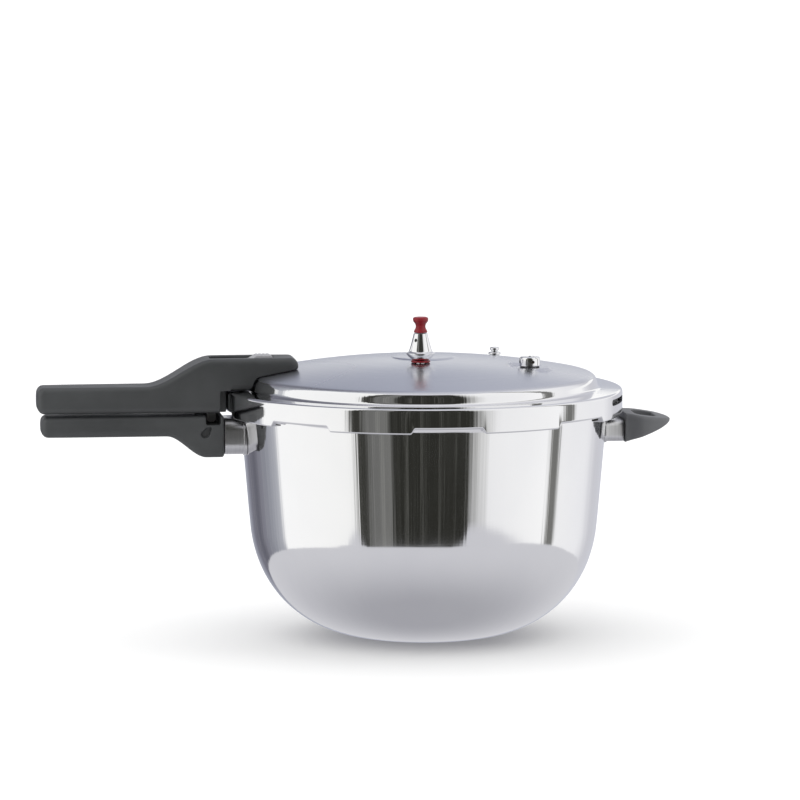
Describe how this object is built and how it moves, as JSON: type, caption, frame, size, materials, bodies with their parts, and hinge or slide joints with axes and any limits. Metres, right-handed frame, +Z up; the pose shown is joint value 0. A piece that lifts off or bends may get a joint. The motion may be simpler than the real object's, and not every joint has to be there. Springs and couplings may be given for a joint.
{
  "type": "stovetop pressure cooker",
  "caption": "Rounded steel pot with a bayonet-lug domed lid, weighted pressure regulator, safety valves, long double handle with locking slider, and a small helper handle.",
  "frame": {"origin": "centre of the pot's flat base, on the surface it stands on", "axes": "+Z up; the two long handles point along -X and the helper handle along +X"},
  "size_m": [0.4716, 0.2952, 0.2401],
  "materials": {
    "polished_steel": "mirror-polished stainless steel",
    "satin_steel": "satin-polished stainless steel dome with a bright rim",
    "stamped_steel": "plain stamped steel",
    "bright_chrome": "bright chrome plate",
    "charcoal_phenolic": "matt charcoal moulded phenolic",
    "silver_plastic": "smooth silver-grey moulded plastic",
    "red_silicone": "deep red silicone",
    "grey_rubber": "grey sealing rubber",
    "valve_brass": "plain brass"
  },
  "bodies": {
    "pot": {"pot_body": "polished_steel", "pot_handle_bracket": "stamped_steel", "pot_handle_flame_guard": "polished_steel", "pot_handle": "charcoal_phenolic", "pot_handle_screw": "stamped_steel", "helper_handle_bracket": "stamped_steel", "helper_handle_flame_guard": "polished_steel", "helper_handle": "charcoal_phenolic", "helper_handle_screw": "stamped_steel"},
    "lid": {"lid": "satin_steel", "sealing_gasket": "grey_rubber", "lid_handle_shell": "charcoal_phenolic", "lid_handle_bracket": "stamped_steel", "lid_handle_screw": "stamped_steel", "vent_pipe": "bright_chrome", "vent_pipe_gasket": "red_silicone", "vent_pipe_nut": "stamped_steel", "vent_strainer": "stamped_steel", "safety_valve_body": "bright_chrome", "safety_valve_gasket": "grey_rubber", "safety_valve_nut": "stamped_steel", "safety_valve_spring": "stamped_steel", "float_bush": "bright_chrome", "float_nut": "stamped_steel"},
    "slider": {"slider_button": "silver_plastic", "lock_bar": "stamped_steel"},
    "regulator": {"regulator_weight": "bright_chrome", "regulator_needle": "valve_brass", "regulator_knob": "red_silicone"},
    "relief_poppet": {"safety_valve_poppet": "valve_brass"},
    "pressure_float": {"float_pin": "bright_chrome", "float_seal": "grey_rubber"}
  },
  "joints": [
    {"name": "lid_turn", "type": "hinge", "parent": "pot", "child": "lid", "pos_m": [0, 0, 0.1845], "axis": [0, 0, 1], "range_deg": [0, 22.5]},
    {"name": "lock_slide", "type": "slide", "parent": "lid", "child": "slider", "axis": [-1, 0, 0], "range_m": [0, 0.008]},
    {"name": "regulator_lift", "type": "slide", "parent": "lid", "child": "regulator", "axis": [0, 0, 1], "range_m": [0, 0.025]},
    {"name": "relief_lift", "type": "slide", "parent": "lid", "child": "relief_poppet", "axis": [0, 0, 1], "range_m": [0, 0.002], "stiffness_N_per_m": 150, "springref_m": -0.001, "deforming": ["safety_valve_spring"]},
    {"name": "float_rise", "type": "slide", "parent": "lid", "child": "pressure_float", "axis": [0, 0, 1], "range_m": [0, 0.0035]}
  ]
}
